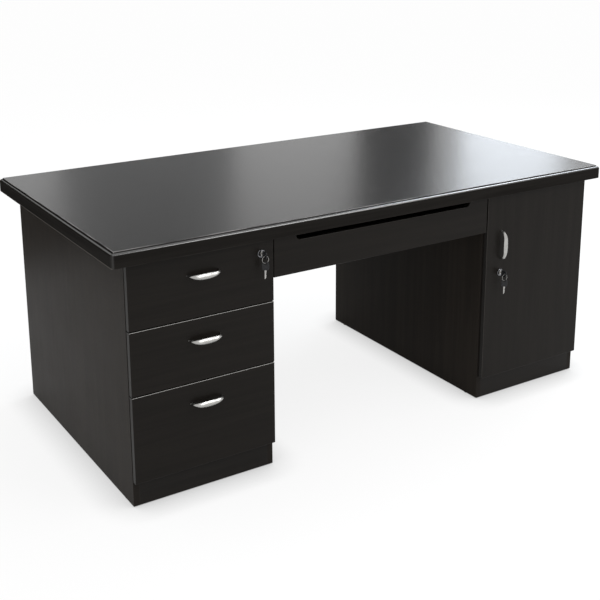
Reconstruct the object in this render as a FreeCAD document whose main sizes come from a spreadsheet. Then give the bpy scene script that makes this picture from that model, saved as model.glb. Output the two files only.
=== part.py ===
import FreeCAD, Part
import math
import os

import Sketcher

# Pedestal desk: a worktop on two pedestals, one with three drawers and one with a door,
# and a pencil drawer over the kneehole. Millimetres; +Z up, the fronts face -Y.
# The origin lies on the floor under the middle of the overall length and depth.

doc = FreeCAD.newDocument("pedestal_desk")
sizes = doc.addObject("Spreadsheet::Sheet", "sizes")

DIMENSIONS = {
    # Worktop and its edge mouldings
    "desk_width": 1800,
    "desk_depth": 960,
    "desk_height": 765,
    "band_height": 41,
    "field_rise": 4,
    "field_inset": 10,
    "field_round": 1.5,
    "moulding_width": 30,
    "moulding_corner": 9,
    "moulding_top_round": 8,
    "moulding_bottom_round": 2,
    # Pedestal carcasses
    "board": 18,
    "pedestal_width": 450,
    "side_overhang": 46,
    "front_overhang": 40,
    "back_overhang": 60,
    "glide_height": 3,
    "glide_radius": 8,
    "glide_inset": 60,
    "plinth_height": 75,
    "rail_depth": 80,
    "modesty_height": 380,
    "modesty_setback": 40,
    "shelf_height": 390,
    "shelf_setback": 20,
    "shelf_play": 0.5,
    "pin_radius": 2.5,
    "pin_reach": 9,
    "pin_depth": 10,
    "pin_inset": 60,
    "pin_clearance": 0.1,
    # Drawer fronts and door
    "front_thickness": 18,
    "front_gap": 2,
    "front_arris": 2,
    "front_bottom": 80,
    "top_reveal": 4,
    "front_reveal": 1,
    "front_joint": 3,
    "drawer_front_height": 186,
    "door_reveal": 4,
    "pencil_front_height": 118,
    "notch_margin": 75,
    "notch_depth": 17.5,
    "notch_corner": 16,
    # Drawer boxes
    "box_board": 12,
    "box_length": 500,
    "box_rise": 14,
    "box_height": 110,
    "deep_box_height": 180,
    "pencil_box_height": 68,
    "groove_depth": 5,
    "groove_rise": 10,
    "drawer_bottom": 5,
    "groove_play": 0.1,
    # Drawer slides
    "slide_space": 12.7,
    "slide_height": 35,
    "slide_sheet": 1.2,
    "slide_lip": 5,
    "slide_depth": 9.5,
    "slide_length": 480,
    "slide_rise": 36,
    "slide_setback": 4,
    "slide_clearance": 0.4,
    # Bow handles
    "handle_span": 97,
    "handle_reach": 25,
    "handle_middle": 18,
    "handle_end": 8,
    "handle_thickness": 6,
    "handle_end_thickness": 5,
    "handle_bulge": 0.8,
    "handle_drop": 56,
    "door_handle_drop": 170,
    "door_handle_offset": 4,
    "door_handle_inset": 62,
    # Locks and keys
    "bezel_radius": 12,
    "bezel_height": 3,
    "bezel_chamfer": 1,
    "barrel_radius": 9.5,
    "barrel_tail": 6,
    "barrel_clearance": 0.2,
    "plug_radius": 6.5,
    "plug_recess": 0.6,
    "plug_clearance": 0.3,
    "cam_width": 13,
    "cam_sheet": 2.5,
    "cam_gap": 0.4,
    "drawer_cam_reach": 33,
    "door_cam_reach": 53,
    "cam_slot_clearance": 1.5,
    "drawer_lock_drop": 37,
    "drawer_lock_inset": 40,
    "door_lock_drop": 266,
    "key_width": 6,
    "key_sheet": 2.2,
    "key_clearance": 0.2,
    "key_insert": 16,
    "key_neck": 8,
    "key_head_length": 23,
    "key_head_width": 21,
    "key_head_sheet": 3,
    "key_head_corner": 5,
    "key_hole_radius": 2.8,
    "key_hole_inset": 7.5,
    "ring_radius": 10.5,
    "ring_wire": 0.8,
    "ring_play": 0.3,
    "spare_play": 0.7,
    "spare_turn": 35,
    "spare_slot_width": 9,
    "spare_slot_height": 5,
    "spare_rim": 2,
    "spare_blade": 27,
    # Concealed hinges of the door
    "hinge_inset": 100,
    "cup_radius": 17.5,
    "cup_depth": 11.5,
    "cup_wall": 1,
    "cup_edge": 22.5,
    "cup_clearance": 0.2,
    "cup_notch": 4,
    "arm_pivot_inset": 11.5,
    "arm_pivot_reach": 3.5,
    "arm_cheek": 2.6,
    "arm_half_depth": 4,
    "arm_length": 62,
    "arm_plate": 3,
    "arm_plate_length": 44,
    "arm_plate_height": 48,
    "arm_plate_setback": 18,
    "link_pivot_edge": 10,
    "link_pivot_depth": 2.5,
    "link_eye": 2.4,
    "link_sheet": 1.6,
    "hinge_pin": 1.4,
    "hinge_clearance": 0.1,
    "hinge_side_play": 0.3,
    "ear_radius": 3.2,
    "ear_width": 2.4,
}
for row, (alias, number) in enumerate(DIMENSIONS.items(), start=1):
    sizes.set(f"A{row}", alias)
    sizes.set(f"B{row}", str(number))
    sizes.setAlias(f"B{row}", alias)
doc.recompute()


def size(words):
    """Turns sums of size names into an expression on the sheet."""
    return "(" + " ".join(f"sizes.{word}" if word in DIMENSIONS else word for word in words.split()) + ")"


def value(expression):
    return float(doc.sizes.evalExpression(expression))


def place(thing, x="0", y="0", z="0"):
    for axis, expression in zip("xyz", (x, y, z)):
        thing.setExpression(f"Placement.Base.{axis}", expression)
    return thing


def board(name, extent, corner):
    """A plain rectangular board from its extent and its lowest corner."""
    box = doc.addObject("Part::Box", name)
    for side, expression in zip(("Length", "Width", "Height"), extent):
        box.setExpression(side, expression)
    return place(box, *corner)


def rod(name, radius, length, start, axis):
    """A round rod from a start point along X, Y or Z."""
    turns = {"X": ((0, 1, 0), 90), "Y": ((1, 0, 0), -90), "Z": ((0, 0, 1), 0)}
    cylinder = doc.addObject("Part::Cylinder", name)
    cylinder.setExpression("Radius", radius)
    cylinder.setExpression("Height", length)
    direction, angle = turns[axis]
    cylinder.Placement.Rotation = FreeCAD.Rotation(FreeCAD.Vector(*direction), angle)
    return place(cylinder, *start)


def joined(name, pieces):
    fuse = doc.addObject("Part::MultiFuse", name)
    fuse.Shapes = pieces
    return fuse


def cut_by(name, base, tools):
    cut = doc.addObject("Part::Cut", name)
    cut.Base = base
    cut.Tool = tools[0] if len(tools) == 1 else joined(f"{name}_tools", tools)
    return cut


def group(name, pieces):
    """Separate like solids kept under one name."""
    compound = doc.addObject("Part::Compound", name)
    compound.Links = pieces
    return compound


def new_body(name):
    return doc.addObject("PartDesign::Body", name)


def sketch_on(body, role, offset="0"):
    sketch = body.newObject("Sketcher::SketchObject", f"{body.Name}_sketch")
    plane = next(feature for feature in body.Origin.OriginFeatures if feature.Role == role)
    sketch.AttachmentSupport = [(plane, "")]
    sketch.MapMode = "FlatFace"
    sketch.setExpression("AttachmentOffset.Base.z", offset)
    return sketch


def fix(sketch, kind, geometry, point, expression):
    arguments = (kind, geometry, point, value(expression)) if point else (kind, geometry, value(expression))
    constraint = sketch.addConstraint(Sketcher.Constraint(*arguments))
    sketch.setExpression(f"Constraints[{constraint}]", expression)


def outline(sketch, points):
    """A closed outline of straight sides, each corner tied to the sizes."""
    corners = [FreeCAD.Vector(value(x), value(y), 0) for x, y in points]
    count = len(corners)
    first = sketch.GeometryCount
    for index in range(count):
        sketch.addGeometry(Part.LineSegment(corners[index], corners[(index + 1) % count]))
    for index in range(count):
        following = first + (index + 1) % count
        sketch.addConstraint(Sketcher.Constraint("Coincident", first + index, 2, following, 1))
    for index, (x, y) in enumerate(points):
        fix(sketch, "DistanceX", first + index, 1, x)
        fix(sketch, "DistanceY", first + index, 1, y)
    return sketch


def rectangle(sketch, low, high):
    return outline(sketch, [(low[0], low[1]), (high[0], low[1]), (high[0], high[1]), (low[0], high[1])])


def circle(sketch, x, y, radius):
    centre = FreeCAD.Vector(value(x), value(y), 0)
    index = sketch.addGeometry(Part.Circle(centre, FreeCAD.Vector(0, 0, 1), value(radius)))
    fix(sketch, "DistanceX", index, 3, x)
    fix(sketch, "DistanceY", index, 3, y)
    fix(sketch, "Radius", index, None, radius)
    return sketch


def pad(body, sketch, length):
    feature = body.newObject("PartDesign::Pad", f"{body.Name}_pad")
    feature.Profile = sketch
    feature.setExpression("Length", length)
    doc.recompute()
    return feature


def pocket(body, sketch, depth=None):
    """Cuts a sketch into the solid behind it, or right through when no depth is given."""
    before = body.Shape.Volume
    feature = body.newObject("PartDesign::Pocket", f"{body.Name}_pocket")
    feature.Profile = sketch
    if depth is None:
        feature.Type = "ThroughAll"
        feature.Midplane = True
    else:
        feature.Reversed = True
        feature.setExpression("Length", depth)
    doc.recompute()
    if not body.Shape.Volume < before:
        raise RuntimeError(f"{body.Name}: a pocket cut nothing")
    return feature


def revolve(body, sketch):
    feature = body.newObject("PartDesign::Revolution", f"{body.Name}_turned")
    feature.Profile = sketch
    feature.ReferenceAxis = (sketch, ["V_Axis"])
    feature.Angle = 360
    doc.recompute()
    return feature


def round_edges(body, base, radius, chosen):
    names = [f"Edge{number}" for number, edge in enumerate(base.Shape.Edges, start=1) if chosen(edge)]
    feature = body.newObject("PartDesign::Fillet", f"{body.Name}_round")
    feature.Base = (base, names)
    feature.setExpression("Radius", radius)
    doc.recompute()
    return feature


def lies_at(axis, level):
    """Chooses the edges that lie wholly at one level of X, Y or Z."""
    return lambda edge: all(abs(getattr(vertex.Point, axis) - level) < 1e-6 for vertex in edge.Vertexes)


def runs_along(axis):
    return lambda edge: sum(abs(edge.BoundBox.getPoint(0)[i] - edge.BoundBox.getPoint(6)[i]) > 1e-6
                            for i in range(3) if "xyz"[i] != axis) == 0


PARTS = []


def part(thing):
    """Lists a finished piece; its name is the piece's name."""
    thing.Label = thing.Name
    PARTS.append(thing)
    return thing


# Reference planes. The key heads stand out past the worktop's front edge, and the origin is at
# the middle of that overall depth.
front_setback = size("front_overhang - front_gap - front_thickness")
key_length = size("key_neck + key_head_length")
key_reach = f"({key_length} - {front_setback})"
top_front = f"({key_reach} / 2 - sizes.desk_depth / 2)"
top_back = f"({key_reach} / 2 + sizes.desk_depth / 2)"
underside = size("desk_height - field_rise - band_height")
carcass_front = f"({top_front} + sizes.front_overhang)"
carcass_back = f"({top_back} - sizes.back_overhang)"
carcass_depth = f"({carcass_back} - {carcass_front})"
front_back = f"({carcass_front} - sizes.front_gap)"
front_face = f"({front_back} - sizes.front_thickness)"
fronts_top = f"({underside} - sizes.top_reveal)"
outer_face = size("desk_width / 2 - side_overhang")
knee_face = f"({outer_face} - sizes.pedestal_width)"
outer_inside = f"({outer_face} - sizes.board)"
inner_inside = f"({knee_face} + sizes.board)"
pedestal_inside = size("pedestal_width - 2 * board")
kneehole = f"(2 * {knee_face})"
side_height = f"({underside} - sizes.glide_height)"

# Worktop: a thick board with a raised, slightly larger writing surface
worktop = new_body("worktop")
half_core = size("desk_width / 2 - moulding_width")
half_core_depth = size("desk_depth / 2 - moulding_width")
half_field = size("desk_width / 2 - field_inset")
half_field_depth = size("desk_depth / 2 - field_inset")
core = sketch_on(worktop, "XY_Plane")
rectangle(core, (f"-{half_core}", f"-{half_core_depth}"), (half_core, half_core_depth))
pad(worktop, core, size("band_height"))
field = sketch_on(worktop, "XY_Plane", size("band_height"))
rectangle(field, (f"-{half_field}", f"-{half_field_depth}"), (half_field, half_field_depth))
raised = pad(worktop, field, size("field_rise"))
round_edges(worktop, raised, size("field_round"), lies_at("z", value(size("band_height + field_rise"))))
place(worktop, "0", f"{key_reach} / 2", underside)
part(worktop)

# Edge mouldings: one rounded frame round the worktop, mitred into four lengths
blank = new_body("moulding_blank")
half_width = size("desk_width / 2")
half_depth = size("desk_depth / 2")
rim = sketch_on(blank, "XY_Plane")
rectangle(rim, (f"-{half_width}", f"-{half_depth}"), (half_width, half_depth))
slab = pad(blank, rim, size("band_height"))
cornered = round_edges(blank, slab, size("moulding_corner"), runs_along("z"))
topped = round_edges(blank, cornered, size("moulding_top_round"), lies_at("z", value(size("band_height"))))
round_edges(blank, topped, size("moulding_bottom_round"), lies_at("z", 0))
opening = sketch_on(blank, "XY_Plane")
rectangle(opening, (f"-{half_core}", f"-{half_core_depth}"), (half_core, half_core_depth))
pocket(blank, opening)


def moulding(name, corners):
    wedge = new_body(f"{name}_mitre")
    trapezium = sketch_on(wedge, "XY_Plane")
    outline(trapezium, corners)
    pad(wedge, trapezium, size("band_height"))
    length = doc.addObject("Part::Common", name)
    length.Base = blank
    length.Tool = wedge
    part(place(length, "0", f"{key_reach} / 2", underside))


OUTER = [(f"{x}{half_width}", f"{y}{half_depth}") for x, y in (("-", "-"), ("", "-"), ("", ""), ("-", ""))]
INNER = [(f"{x}{half_core}", f"{y}{half_core_depth}") for x, y in (("-", "-"), ("", "-"), ("", ""), ("-", ""))]
for turn, edge_name in enumerate(("front_moulding", "right_moulding", "back_moulding", "left_moulding")):
    after = (turn + 1) % 4
    moulding(edge_name, [OUTER[turn], OUTER[after], INNER[after], INNER[turn]])

# Slots that take the turned lock cams: one in the rail over the drawers, one in the cabinet's inner side
barrel_length = size("front_thickness + barrel_tail")
cam_start = f"({front_face} + {barrel_length} + sizes.cam_gap)"
slot_start = f"({cam_start} - sizes.cam_slot_clearance)"
slot_width = size("cam_sheet + 2 * cam_slot_clearance")
slot_reach = size("cam_width / 2 + cam_slot_clearance")
drawer_lock_x = f"(-{knee_face} - sizes.front_reveal - sizes.drawer_lock_inset)"
drawer_lock_z = f"({fronts_top} - sizes.drawer_lock_drop)"
door_left = f"({knee_face} + sizes.door_reveal)"
door_lock_x = f"({door_left} + sizes.door_handle_inset)"
door_lock_z = f"({fronts_top} - sizes.door_lock_drop)"

# Pedestal sides: full-height boards that stand on the floor glides
SIDES = {
    "left_outer_side": f"-{outer_face}",
    "left_inner_side": f"-{inner_inside}",
    "right_inner_side": knee_face,
    "right_outer_side": outer_inside,
}
PIN_Y = (f"({carcass_front} + sizes.pin_inset)", f"({carcass_back} - sizes.board - sizes.pin_inset)")
pin_z = size("shelf_height - pin_radius")
hole_radius = size("pin_radius + pin_clearance")
for side_name, left in SIDES.items():
    shelf_side = side_name.startswith("right")
    plank = board(f"{side_name}_board" if shelf_side else side_name,
                  (size("board"), carcass_depth, side_height), (left, carcass_front, size("glide_height")))
    if shelf_side:
        inside = inner_inside if side_name == "right_inner_side" else outer_inside
        sign = -1 if side_name == "right_inner_side" else 0
        cuts = [rod(f"{side_name}_hole", hole_radius, size("pin_depth"),
                    (f"{inside} + {sign} * sizes.pin_depth", y, pin_z), "X") for y in PIN_Y]
        if sign:
            reach = size("door_cam_reach + cam_slot_clearance")
            slot_left = f"({door_lock_x} - {reach})"
            cuts.append(board("door_cam_slot", (f"{inside} - {slot_left}", slot_width,
                                                size("door_cam_reach + cam_width")),
                              (slot_left, slot_start, f"{door_lock_z} - {slot_reach}")))
        plank = cut_by(side_name, plank, cuts)
    part(plank)

# Bottoms, plinths, backs and front rails between the sides of each pedestal
plinth_back = f"({carcass_front} + sizes.board)"
back_front = f"({carcass_back} - sizes.board)"
for pedestal, left in (("left", f"-{outer_inside}"), ("right", inner_inside)):
    part(board(f"{pedestal}_plinth", (pedestal_inside, size("board"), size("plinth_height - glide_height")),
               (left, carcass_front, size("glide_height"))))
    part(board(f"{pedestal}_bottom", (pedestal_inside, f"{back_front} - {plinth_back}", size("board")),
               (left, plinth_back, size("plinth_height - board"))))
    part(board(f"{pedestal}_back", (pedestal_inside, size("board"), side_height),
               (left, back_front, size("glide_height"))))
    rail = board("left_rail_board" if pedestal == "left" else "right_front_rail",
                 (pedestal_inside, size("rail_depth"), size("board")),
                 (left, carcass_front, f"{underside} - sizes.board"))
    if pedestal == "left":
        slot = board("drawer_cam_slot", (f"sizes.drawer_cam_reach + {slot_reach}", slot_width,
                                         f"{drawer_lock_z} + sizes.drawer_cam_reach + sizes.cam_slot_clearance"
                                         f" - {underside} + sizes.board"),
                     (f"{drawer_lock_x} - sizes.drawer_cam_reach", slot_start, f"{underside} - sizes.board"))
        rail = cut_by("left_front_rail", rail, [slot])
    part(rail)

# Modesty panel between the pedestals, under the back of the worktop
part(board("modesty_panel", (kneehole, size("board"), size("modesty_height")),
           (f"-{knee_face}", f"{carcass_back} - sizes.modesty_setback - sizes.board",
            f"{underside} - sizes.modesty_height")))

# Loose shelf of the cabinet on four pins
part(board("cabinet_shelf", (f"{pedestal_inside} - 2 * sizes.shelf_play",
                             f"{back_front} - {carcass_front} - sizes.shelf_setback - sizes.shelf_play",
                             size("board")),
           (f"{inner_inside} + sizes.shelf_play", f"{carcass_front} + sizes.shelf_setback",
            size("shelf_height"))))
pin_length = size("pin_depth + pin_reach")
PIN_X = (f"{inner_inside} - sizes.pin_depth", f"{outer_inside} - sizes.pin_reach")
part(group("shelf_pins", [rod("shelf_pin", size("pin_radius"), pin_length, (start, y, pin_z), "X")
                          for start in PIN_X for y in PIN_Y]))

# Floor glides under both ends of every side
part(group("floor_glides", [rod("floor_glide", size("glide_radius"), size("glide_height"),
                                (f"{left} + sizes.board / 2", y, "0"), "Z")
                            for left in SIDES.values()
                            for y in (f"{carcass_front} + sizes.glide_inset",
                                      f"{carcass_back} - sizes.glide_inset")]))

# Bow handles: half-moon bars that stand off the front on bent ends. One long edge is straight and the other
# is bowed, and a ridge along the face parts two slightly rounded facets.
BEND_STEPS = 3


def handle_section(centre, outward, height, thickness):
    """The bar cut across: a flat back, and a facet on each side of the ridge."""
    down = FreeCAD.Vector(0, 0, -height)
    straight_edge = centre - outward * (thickness / 2)
    bowed_edge = straight_edge + down
    ridge = centre + outward * (thickness / 2) + down / 2
    sides = [Part.LineSegment(bowed_edge, straight_edge)]
    for first, last, upward in ((straight_edge, ridge, 1), (ridge, bowed_edge, -1)):
        swell = outward * (height / 2) + FreeCAD.Vector(0, 0, upward * thickness)
        crown = (first + last) / 2 + swell.normalize() * value("sizes.handle_bulge")
        sides.append(Part.Arc(first, crown, last))
    return Part.Wire([side.toShape() for side in sides])


def bow_handle(name, x, z, upright=False):
    """A handle whose straight edge lies at z, or stands at x when it is upright."""
    half_span = value(size("handle_span / 2"))
    bend = value(size("handle_reach - handle_thickness / 2"))
    bend_centre = FreeCAD.Vector(bend - half_span, 0, 0)
    path = []
    for step in range(BEND_STEPS + 1):
        turn = math.pi / 2 * step / BEND_STEPS
        outward = FreeCAD.Vector(-math.cos(turn), -math.sin(turn), 0)
        path.append((bend_centre + outward * bend, outward))
    ahead = FreeCAD.Vector(0, -1, 0)
    path.append((bend_centre / 2 + ahead * bend, ahead))
    far_half = [(FreeCAD.Vector(-centre.x, centre.y, 0), FreeCAD.Vector(-outward.x, outward.y, 0))
                for centre, outward in reversed(path)]
    path += [(ahead * bend, ahead)] + far_half
    rings = []
    for centre, outward in path:
        taper = (centre.x / half_span)**2
        height = (1 - taper) * value("sizes.handle_middle") + taper * value("sizes.handle_end")
        thickness = (1 - taper) * value("sizes.handle_thickness") + taper * value("sizes.handle_end_thickness")
        rings.append(handle_section(centre, outward, height, thickness))
    handle = doc.addObject("Part::Feature", name)
    handle.Shape = Part.makeLoft(rings, True)
    handle.Placement.Rotation = FreeCAD.Rotation(FreeCAD.Vector(0, 1, 0), -90 * upright)
    part(place(handle, x, front_face, z))


# Lock parts. Each is drawn about the lock's own axis along Y, with its zero at the front's face.
bore_radius = size("plug_radius + plug_clearance")
hole_in_front = size("barrel_radius + barrel_clearance")


def lock(name, x, z, cam_reach, cam_turn):
    position = (x, front_face, z)
    housing = new_body(f"{name}_housing")
    profile = sketch_on(housing, "XY_Plane")
    outline(profile, [(bore_radius, size("- bezel_height")),
                      (size("bezel_radius - bezel_chamfer"), size("- bezel_height")),
                      (size("bezel_radius"), size("bezel_chamfer - bezel_height")),
                      (size("bezel_radius"), "0"), (size("barrel_radius"), "0"),
                      (size("barrel_radius"), barrel_length), (bore_radius, barrel_length)])
    revolve(housing, profile)
    part(place(housing, *position))

    plug_start = size("plug_recess - bezel_height")
    tail = f"({barrel_length} + sizes.cam_gap)"
    core_rod = rod(f"{name}_core", size("plug_radius"), f"{tail} + sizes.cam_sheet - {plug_start}",
                   ("0", plug_start, "0"), "Y")
    cam = board(f"{name}_cam", (size("cam_width"), size("cam_sheet"), cam_reach),
                (size("- cam_width / 2"), tail, "0"))
    turned = joined(f"{name}_cam_on_tail", [core_rod, cam])
    key_slot = board(f"{name}_key_slot", (size("key_sheet + 2 * key_clearance"),
                                          f"sizes.key_insert + sizes.key_clearance - {plug_start}",
                                          size("key_width + 2 * key_clearance")),
                     (size("- key_sheet / 2 - key_clearance"), plug_start,
                      size("- key_width / 2 - key_clearance")))
    turned.Placement.Rotation = FreeCAD.Rotation(FreeCAD.Vector(0, 1, 0), cam_turn)
    plug = cut_by(f"{name}_plug", turned, [key_slot])
    part(place(plug, *position))

    key = new_body(f"{name}_key")
    blade = sketch_on(key, "YZ_Plane", size("- key_sheet / 2"))
    rectangle(blade, (size("- key_neck"), size("- key_width / 2")), (size("key_insert"), size("key_width / 2")))
    pad(key, blade, size("key_sheet"))
    head = sketch_on(key, "YZ_Plane", size("- key_head_sheet / 2"))
    rectangle(head, (f"-{key_length}", size("- key_head_width / 2")),
              (size("- key_neck"), size("key_head_width / 2")))
    circle(head, f"sizes.key_hole_inset - {key_length}", "0", size("key_hole_radius"))
    grip = pad(key, head, size("key_head_sheet"))
    ends = (-value(key_length), -value(size("key_neck")))
    half_head = value(size("key_head_width / 2"))
    round_edges(key, grip, size("key_head_corner"),
                lambda edge: runs_along("x")(edge) and abs(abs(edge.Vertexes[0].Z) - half_head) < 1e-6
                and min(abs(edge.Vertexes[0].Y - end) for end in ends) < 1e-6)
    part(place(key, *position))

    hole_y = f"({front_face} + sizes.key_hole_inset - {key_length})"
    ring = doc.addObject("Part::Torus", f"{name}_key_ring")
    ring.setExpression("Radius1", size("ring_radius"))
    ring.setExpression("Radius2", size("ring_wire"))
    ring.Placement.Rotation = FreeCAD.Rotation(FreeCAD.Vector(1, 0, 0), 90)
    drop = size("key_hole_radius - ring_wire - ring_play")
    part(place(ring, x, hole_y, f"{z} - {drop} - sizes.ring_radius"))

    spare = new_body(f"{name}_spare_key")
    half_slot = size("spare_slot_height / 2")
    eye_top = f"({half_slot} + sizes.spare_rim)"
    head_low = f"({eye_top} - sizes.key_head_length)"
    shape = sketch_on(spare, "XZ_Plane", size("- key_head_sheet / 2"))
    rectangle(shape, (size("- key_head_width / 2"), head_low), (size("key_head_width / 2"), eye_top))
    bow = pad(spare, shape, size("key_head_sheet"))
    round_edges(spare, bow, size("key_head_corner"), runs_along("y"))
    eye = sketch_on(spare, "XZ_Plane")
    rectangle(eye, (size("- spare_slot_width / 2"), f"-{half_slot}"), (size("spare_slot_width / 2"), half_slot))
    pocket(spare, eye)
    shank = sketch_on(spare, "XZ_Plane", size("- key_sheet / 2"))
    rectangle(shank, (size("- key_width / 2"), f"{head_low} - sizes.spare_blade"),
              (size("key_width / 2"), head_low))
    pad(spare, shank, size("key_sheet"))
    spare.Placement.Rotation = FreeCAD.Rotation(FreeCAD.Vector(0, 0, 1), -value(size("spare_turn")))
    hang = f"({drop} + 2 * sizes.ring_radius - sizes.ring_wire - sizes.spare_play + {half_slot})"
    part(place(spare, x, hole_y, f"{z} - {hang}"))


# Drawer slides: a lipped channel on the carcass and a hat-shaped runner on the drawer box
half_slide = size("slide_height / 2")
lip_edge = size("slide_height / 2 - slide_lip")
channel_inside = size("slide_depth - slide_sheet")
slide_start = f"({carcass_front} + sizes.slide_setback)"


def mirrored(points, side):
    return [(f"{side} * {x}", y) for x, y in points]


def channel(name, x, z, side):
    """side is 1 for a channel that opens towards +X and -1 for its mirror image."""
    body = new_body(name)
    web = size("slide_height / 2 - slide_sheet")
    profile = [("0", f"-{half_slide}"), (size("slide_depth"), f"-{half_slide}"),
               (size("slide_depth"), f"-{lip_edge}"), (channel_inside, f"-{lip_edge}"),
               (channel_inside, f"-{web}"), (size("slide_sheet"), f"-{web}"),
               (size("slide_sheet"), web), (channel_inside, web), (channel_inside, lip_edge),
               (size("slide_depth"), lip_edge), (size("slide_depth"), half_slide), ("0", half_slide)]
    sketch = sketch_on(body, "XZ_Plane", size("- slide_length"))
    outline(sketch, mirrored(profile, side))
    pad(body, sketch, size("slide_length"))
    return place(body, x, slide_start, z)


def runner(name, x, z, side):
    body = new_body(name)
    brim_low = size("slide_sheet + slide_clearance")
    brim_high = size("2 * slide_sheet + slide_clearance")
    brim = size("slide_height / 2 - slide_sheet - slide_clearance")
    crown = size("slide_height / 2 - slide_lip - slide_clearance")
    hollow = size("slide_height / 2 - slide_lip - slide_clearance - slide_sheet")
    roof = size("slide_space - slide_sheet")
    profile = [(brim_low, f"-{brim}"), (brim_high, f"-{brim}"), (brim_high, f"-{crown}"),
               (size("slide_space"), f"-{crown}"), (size("slide_space"), crown), (brim_high, crown),
               (brim_high, brim), (brim_low, brim), (brim_low, hollow), (roof, hollow),
               (roof, f"-{hollow}"), (brim_low, f"-{hollow}")]
    sketch = sketch_on(body, "XZ_Plane", size("- slide_length"))
    outline(sketch, mirrored(profile, side))
    pad(body, sketch, size("slide_length"))
    return place(body, x, slide_start, z)


CHANNELS = []


def drawer(name, left_face, right_face, base, box_height, front):
    """A drawer box between two carcass faces, on slides; the front has been made already."""
    part(front)
    box_left = f"({left_face} + sizes.slide_space)"
    box_right = f"({right_face} - sizes.slide_space)"
    floor_z = f"({base} + sizes.groove_rise)"
    sides = []
    for edge, left in (("left", box_left), ("right", f"({box_right} - sizes.box_board)")):
        plank = board(f"{name}_{edge}_board", (size("box_board"), size("box_length"), box_height),
                      (left, front_back, base))
        inner = f"{box_left} + sizes.box_board - sizes.groove_depth" if edge == "left" else left
        groove = board(f"{name}_{edge}_groove", (size("groove_depth"), size("box_length"),
                                                 size("drawer_bottom + 2 * groove_play")),
                       (inner, front_back, f"{floor_z} - sizes.groove_play"))
        sides.append(cut_by(f"{name}_{edge}_side", plank, [groove]))
    part(group(f"{name}_sides", sides))
    tuck = size("box_board - groove_depth + groove_play")
    panel_width = f"{box_right} - {box_left} - 2 * {tuck}"
    part(board(f"{name}_bottom", (panel_width, size("box_length"), size("drawer_bottom")),
               (f"{box_left} + {tuck}", front_back, floor_z)))
    part(board(f"{name}_back", (f"{box_right} - {box_left} - 2 * sizes.box_board", size("box_board"),
                                f"{box_height} - sizes.groove_rise - sizes.drawer_bottom"),
               (f"{box_left} + sizes.box_board", f"{front_back} + sizes.box_length - sizes.box_board",
                f"{floor_z} + sizes.drawer_bottom")))
    slide_z = f"({base} + sizes.slide_rise)"
    CHANNELS.append(channel(f"{name}_left_channel", left_face, slide_z, 1))
    CHANNELS.append(channel(f"{name}_right_channel", right_face, slide_z, -1))
    part(group(f"{name}_runners", [runner(f"{name}_left_runner", left_face, slide_z, 1),
                                   runner(f"{name}_right_runner", right_face, slide_z, -1)]))


def overlay_front(name, width, height, left, base, holes=(), notch=False):
    """A front board with a rounded front arris, lock holes and, on the pencil drawer, a finger notch."""
    body = new_body(name)
    face = sketch_on(body, "XZ_Plane")
    corners = [("0", "0"), (width, "0"), (width, height)]
    floor = f"({height} - sizes.notch_depth)"
    if notch:
        notch_left, notch_right = size("notch_margin"), f"({width} - sizes.notch_margin)"
        corners += [(notch_right, height), (notch_right, floor), (notch_left, floor), (notch_left, height)]
    outline(face, corners + [("0", height)])
    panel = pad(body, face, size("front_thickness"))
    if notch:
        in_notch = lies_at("z", value(floor))
        panel = round_edges(body, panel, size("notch_corner"),
                            lambda edge: in_notch(edge) and runs_along("y")(edge))
    round_edges(body, panel, size("front_arris"), lies_at("y", -value(size("front_thickness"))))
    for x, z in holes:
        pocket(body, circle(sketch_on(body, "XZ_Plane"), f"{x} - {left}", f"{z} - {base}", hole_in_front))
    return place(body, left, front_back, base)


# The three drawers of the left pedestal, from the top down
front_left = f"(-{outer_face} + sizes.front_reveal)"
front_width = size("pedestal_width - 2 * front_reveal")
pitch = size("drawer_front_height + front_joint")
upper_height = size("drawer_front_height")
DRAWERS = [
    ("top_drawer", f"({fronts_top} - {upper_height})", upper_height, size("box_height")),
    ("middle_drawer", f"({fronts_top} - {pitch} - {upper_height})", upper_height, size("box_height")),
    ("bottom_drawer", size("front_bottom"), f"({fronts_top} - 2 * {pitch} - sizes.front_bottom)",
     size("deep_box_height")),
]
for drawer_name, base, height, box_height in DRAWERS:
    lock_holes = [(drawer_lock_x, drawer_lock_z)] if drawer_name == "top_drawer" else []
    panel_front = overlay_front(f"{drawer_name}_front", front_width, height, front_left, base, lock_holes)
    drawer(drawer_name, f"(-{outer_inside})", f"(-{inner_inside})", f"({base} + sizes.box_rise)", box_height,
           panel_front)
    bow_handle(f"{drawer_name}_handle", f"{front_left} + {front_width} / 2",
               f"{base} + {height} - sizes.handle_drop")
lock("drawer_lock", drawer_lock_x, drawer_lock_z, size("drawer_cam_reach"), -90)

# Pencil drawer over the kneehole
pencil_left = f"(-{knee_face} + sizes.front_reveal)"
pencil_base = f"({fronts_top} - sizes.pencil_front_height)"
pencil_front = overlay_front("pencil_drawer_front", f"({kneehole} - 2 * sizes.front_reveal)",
                             size("pencil_front_height"), pencil_left, pencil_base, notch=True)
drawer("pencil_drawer", f"(-{knee_face})", knee_face, f"({pencil_base} + sizes.box_rise)",
       size("pencil_box_height"), pencil_front)
part(group("slide_channels", CHANNELS))

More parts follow.
